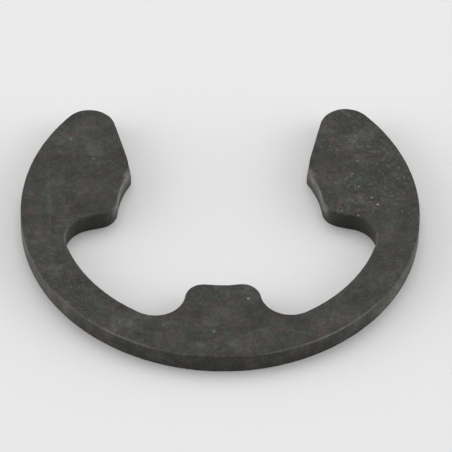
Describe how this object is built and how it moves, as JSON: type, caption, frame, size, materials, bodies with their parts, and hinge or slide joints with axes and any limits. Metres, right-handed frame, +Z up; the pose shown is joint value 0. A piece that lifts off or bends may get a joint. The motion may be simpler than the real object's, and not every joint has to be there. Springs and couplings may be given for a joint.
{
  "type": "e clip",
  "caption": "Flat E-shaped retaining ring of black spring steel, with an open mouth, seats on both arms and a lug, and a curved spring band.",
  "frame": {"origin": "on the axis of the shaft groove that the clip grips, at the clip's underside", "axes": "+Z up through the thickness, towards the die-rolled face; +Y towards the mouth; -Y towards the lug; +X across the two arms"},
  "size_m": [0.029, 0.0247, 0.0015],
  "materials": {
    "black_steel": "matte"
  },
  "bodies": {
    "root": {"e_clip": "black_steel"}
  },
  "joints": []
}
